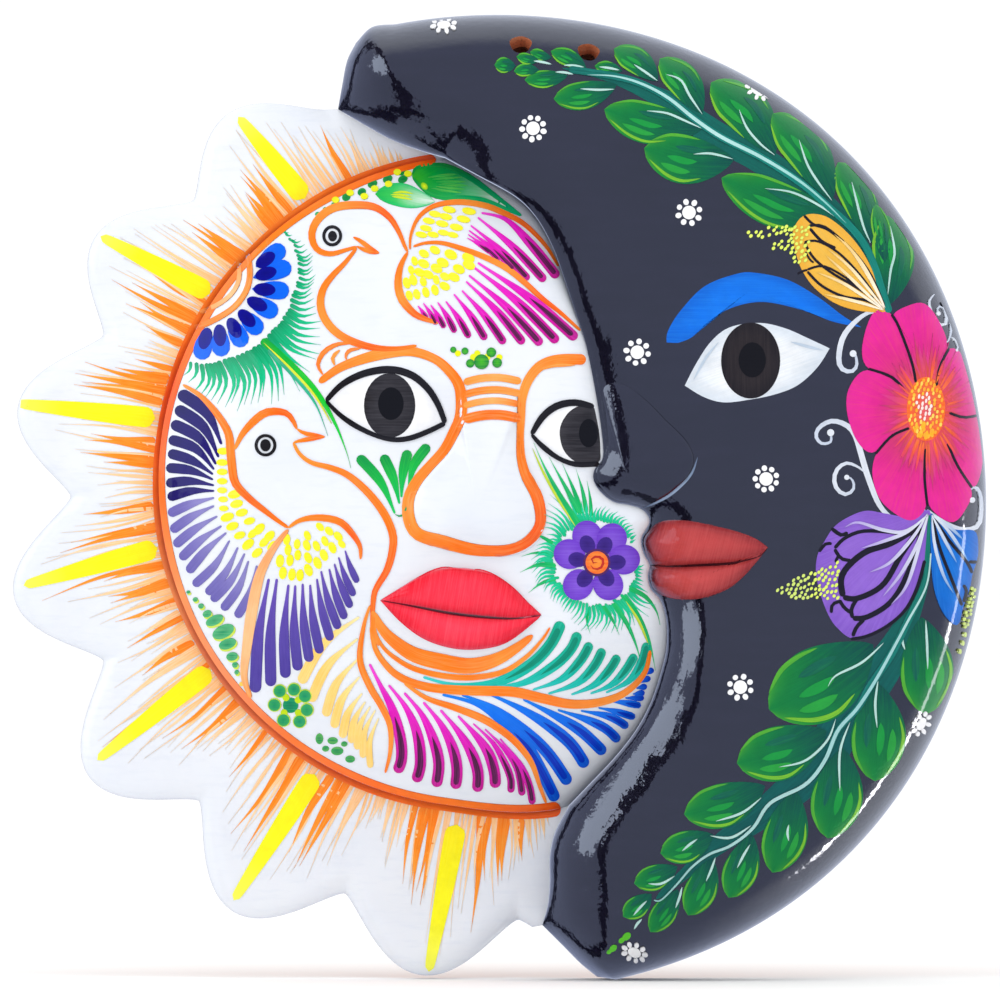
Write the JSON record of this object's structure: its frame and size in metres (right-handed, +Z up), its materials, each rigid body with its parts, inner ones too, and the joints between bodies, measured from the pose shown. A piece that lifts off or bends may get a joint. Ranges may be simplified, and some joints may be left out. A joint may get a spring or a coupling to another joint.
{
  "type": "clay sun and moon wall plaque",
  "caption": "Hand-painted clay wall plaque of a rayed sun face kissed by a crescent moon's profile face, hollow behind, with hanging holes in its top edge",
  "frame": {"origin": "middle of the plaque's outline, on the wall plane that its back rims lie on", "axes": "+X to the right and +Z up as it hangs; the painted front faces -Y and +Y points into the wall"},
  "size_m": [0.3024, 0.0602, 0.2993],
  "materials": {
    "moon_paint": "painted clay under gloss lacquer",
    "sun_paint": "painted clay under gloss lacquer",
    "sun_lip_paint": "painted clay under gloss lacquer",
    "moon_lip_paint": "painted clay under gloss lacquer"
  },
  "bodies": {
    "root": {"moon_shell": "moon_paint", "moon_nose": "moon_paint", "moon_upper_lip": "moon_lip_paint", "moon_lower_lip": "moon_lip_paint", "sun_face_shell": "sun_paint", "sun_nose": "sun_paint", "sun_upper_lip": "sun_lip_paint", "sun_lower_lip": "sun_lip_paint", "sun_ray_flange": "sun_paint"}
  },
  "joints": []
}
